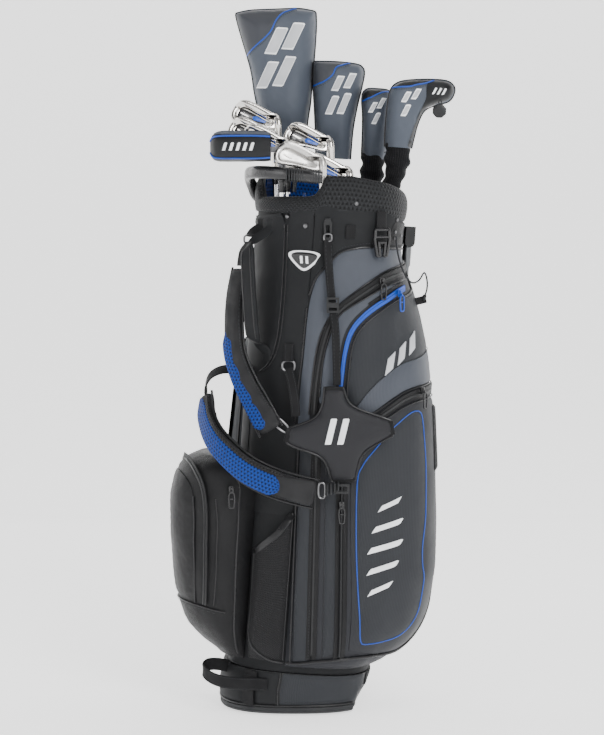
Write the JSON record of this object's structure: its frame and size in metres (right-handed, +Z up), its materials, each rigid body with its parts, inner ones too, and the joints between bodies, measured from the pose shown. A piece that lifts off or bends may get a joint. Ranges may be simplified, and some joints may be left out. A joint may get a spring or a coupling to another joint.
{
  "type": "golf club set",
  "caption": "Golf stand bag leaning slightly on its flat base, with clubs, head covers, side pockets, zips, a padded carry strap and folding legs.",
  "frame": {"origin": "centre of the base underside, on the surface the bag stands on", "axes": "+Z up; +X towards the big side pocket and the folding legs, the way the trunk leans; -Y towards the front, where the strap hub and the upright zips are"},
  "size_m": [0.4767, 0.3278, 1.1778],
  "materials": {
    "black_fabric": "matt polyester",
    "blue_plastic": "gloss moulded",
    "body_pu": "semi-matt coated fabric",
    "chrome": "polished",
    "cover_black": "smooth coated fabric",
    "cover_grey": "woven polyester",
    "gloss_black": "gloss moulded",
    "graphite": "gloss lacquer",
    "grey_weave": "woven melange polyester",
    "head_black": "gloss lacquer",
    "leg_metal": "black anodised",
    "mesh_black": "spacer mesh",
    "mesh_blue": "spacer mesh",
    "moulded": "satin moulded",
    "rod_steel": "drawn",
    "rubber": "matt moulded",
    "satin_steel": "satin",
    "shaft_chrome": "polished",
    "webbing": "flat woven webbing"
  },
  "bodies": {
    "bag": {"base_foot": "rubber", "base_tub": "moulded", "body_shell": "body_pu", "frame_stays": "moulded", "collar_ring": "moulded", "collar_pad": "mesh_black", "top_handle": "rubber", "dividers": "mesh_blue", "big_pocket": "grey_weave", "left_pocket": "black_fabric", "mesh_pocket": "mesh_black", "rear_pocket": "grey_weave", "ball_pocket": "black_fabric", "leg_bracket": "moulded", "strap_pad_upper": "mesh_blue", "strap_pad_lower": "mesh_blue", "strap_hub": "body_pu", "webbing": "webbing", "strap_buckles": "moulded", "bungee_cord": "webbing", "zip_tracks": "moulded"},
    "driver": {"driver_head": "head_black", "driver_shaft": "graphite"},
    "fairway": {"fairway_head": "head_black", "fairway_shaft": "graphite"},
    "hybrid_4": {"hybrid_4_head": "head_black", "hybrid_4_shaft": "graphite"},
    "hybrid_5": {"hybrid_5_head": "head_black", "hybrid_5_shaft": "graphite"},
    "putter": {"putter_head": "head_black", "putter_shaft": "shaft_chrome"},
    "iron_5": {"iron_5_head": "chrome", "iron_5_shaft": "shaft_chrome"},
    "iron_6": {"iron_6_head": "chrome", "iron_6_shaft": "shaft_chrome"},
    "iron_7": {"iron_7_head": "chrome", "iron_7_shaft": "shaft_chrome"},
    "iron_8": {"iron_8_head": "chrome", "iron_8_shaft": "shaft_chrome"},
    "iron_9": {"iron_9_head": "chrome", "iron_9_shaft": "shaft_chrome"},
    "pitching_wedge": {"pitching_wedge_head": "chrome", "pitching_wedge_shaft": "shaft_chrome"},
    "sand_wedge": {"sand_wedge_head": "satin_steel", "sand_wedge_shaft": "shaft_chrome"},
    "driver_headcover": {"driver_cover": "cover_grey"},
    "fairway_headcover": {"fairway_cover": "cover_grey"},
    "hybrid_4_headcover": {"hybrid_4_cover": "cover_grey"},
    "hybrid_5_headcover": {"hybrid_5_cover": "cover_grey"},
    "putter_headcover": {"putter_cover": "cover_black"},
    "tag": {"cover_tag": "gloss_black"},
    "leg_near": {"leg_near": "leg_metal"},
    "leg_far": {"leg_far": "leg_metal"},
    "actuator": {"actuator_rod": "rod_steel"},
    "hanger": {"hanger_buckle": "gloss_black"},
    "slider_chest": {"zip_slider_chest": "gloss_black"},
    "slider_curved": {"zip_slider_curved": "blue_plastic"},
    "slider_side": {"zip_slider_side": "gloss_black"},
    "slider_left": {"zip_slider_left": "gloss_black"},
    "slider_front": {"zip_slider_front": "gloss_black"}
  },
  "joints": [
    {"name": "driver_lift", "type": "slide", "parent": "bag", "child": "driver", "axis": [0.0715, 0, 0.9974], "range_m": [0, 0.86]},
    {"name": "fairway_lift", "type": "slide", "parent": "bag", "child": "fairway", "axis": [0.0715, 0, 0.9974], "range_m": [0, 0.86]},
    {"name": "hybrid_4_lift", "type": "slide", "parent": "bag", "child": "hybrid_4", "axis": [0.0715, 0, 0.9974], "range_m": [0, 0.86]},
    {"name": "hybrid_5_lift", "type": "slide", "parent": "bag", "child": "hybrid_5", "axis": [0.0715, 0, 0.9974], "range_m": [0, 0.86]},
    {"name": "putter_lift", "type": "slide", "parent": "bag", "child": "putter", "axis": [0, 0, 1], "range_m": [0, 0.86]},
    {"name": "iron_5_lift", "type": "slide", "parent": "bag", "child": "iron_5", "axis": [0, 0, 1], "range_m": [0, 0.86]},
    {"name": "iron_6_lift", "type": "slide", "parent": "bag", "child": "iron_6", "axis": [0, 0, 1], "range_m": [0, 0.86]},
    {"name": "iron_7_lift", "type": "slide", "parent": "bag", "child": "iron_7", "axis": [0, 0, 1], "range_m": [0, 0.86]},
    {"name": "iron_8_lift", "type": "slide", "parent": "bag", "child": "iron_8", "axis": [0, 0, 1], "range_m": [0, 0.86]},
    {"name": "iron_9_lift", "type": "slide", "parent": "bag", "child": "iron_9", "axis": [0, 0, 1], "range_m": [0, 0.86]},
    {"name": "pitching_wedge_lift", "type": "slide", "parent": "bag", "child": "pitching_wedge", "axis": [0, 0, 1], "range_m": [0, 0.86]},
    {"name": "sand_wedge_lift", "type": "slide", "parent": "bag", "child": "sand_wedge", "axis": [0, 0, 1], "range_m": [0, 0.86]},
    {"name": "driver_cover_off", "type": "slide", "parent": "driver", "child": "driver_headcover", "axis": [0.0715, 0, 0.9974], "range_m": [0, 0.17]},
    {"name": "fairway_cover_off", "type": "slide", "parent": "fairway", "child": "fairway_headcover", "axis": [0.0715, 0, 0.9974], "range_m": [0, 0.14]},
    {"name": "hybrid_4_cover_off", "type": "slide", "parent": "hybrid_4", "child": "hybrid_4_headcover", "axis": [0.0715, 0, 0.9974], "range_m": [0, 0.13]},
    {"name": "hybrid_5_cover_off", "type": "slide", "parent": "hybrid_5", "child": "hybrid_5_headcover", "axis": [0.0715, 0, 0.9974], "range_m": [0, 0.13]},
    {"name": "putter_cover_off", "type": "slide", "parent": "putter", "child": "putter_headcover", "axis": [-1, 0, 0], "range_m": [0, 0.11]},
    {"name": "tag_swing", "type": "hinge", "parent": "hybrid_5_headcover", "child": "tag", "pos_m": [0.2405, -0.024, 1.00538], "axis": [-0.9974, 0, 0.0715], "range_deg": [0, 70]},
    {"name": "leg_near_swing", "type": "hinge", "parent": "bag", "child": "leg_near", "pos_m": [0.19014, 0.027, 0.7784], "axis": [0.3897, -0.9205, -0.0279], "range_deg": [0, 28]},
    {"name": "leg_far_swing", "type": "hinge", "parent": "bag", "child": "leg_far", "pos_m": [0.11433, 0.116, 0.78383], "axis": [0.7966, -0.6018, -0.0571], "range_deg": [0, 28]},
    {"name": "actuator_push", "type": "slide", "parent": "bag", "child": "actuator", "axis": [0.0715, 0, 0.9974], "range_m": [0, 0.018]},
    {"name": "hanger_swing", "type": "hinge", "parent": "bag", "child": "hanger", "pos_m": [0.142, -0.103, 0.8], "axis": [-0.866, -0.5, 0], "range_deg": [0, 60]},
    {"name": "zip_chest_slide", "type": "slide", "parent": "bag", "child": "slider_chest", "axis": [-0.7205, -0.3275, -0.6113], "range_m": [0, 0.035]},
    {"name": "zip_curved_slide", "type": "slide", "parent": "bag", "child": "slider_curved", "axis": [-0.623, -0.6558, -0.4263], "range_m": [0, 0.022]},
    {"name": "zip_side_slide", "type": "slide", "parent": "bag", "child": "slider_side", "axis": [-0.6208, -0.6909, -0.3705], "range_m": [0, 0.03]},
    {"name": "zip_left_slide", "type": "slide", "parent": "bag", "child": "slider_left", "axis": [-0.0715, 0, -0.9974], "range_m": [0, 0.17]},
    {"name": "zip_front_slide", "type": "slide", "parent": "bag", "child": "slider_front", "axis": [0, 0, -1], "range_m": [0, 0.22]}
  ],
  "couplings": [
    {"joint": "leg_far_swing", "follows": "leg_near_swing", "ratio": 1},
    {"joint": "actuator_push", "follows": "leg_near_swing", "m_per_rad": 0.036}
  ]
}
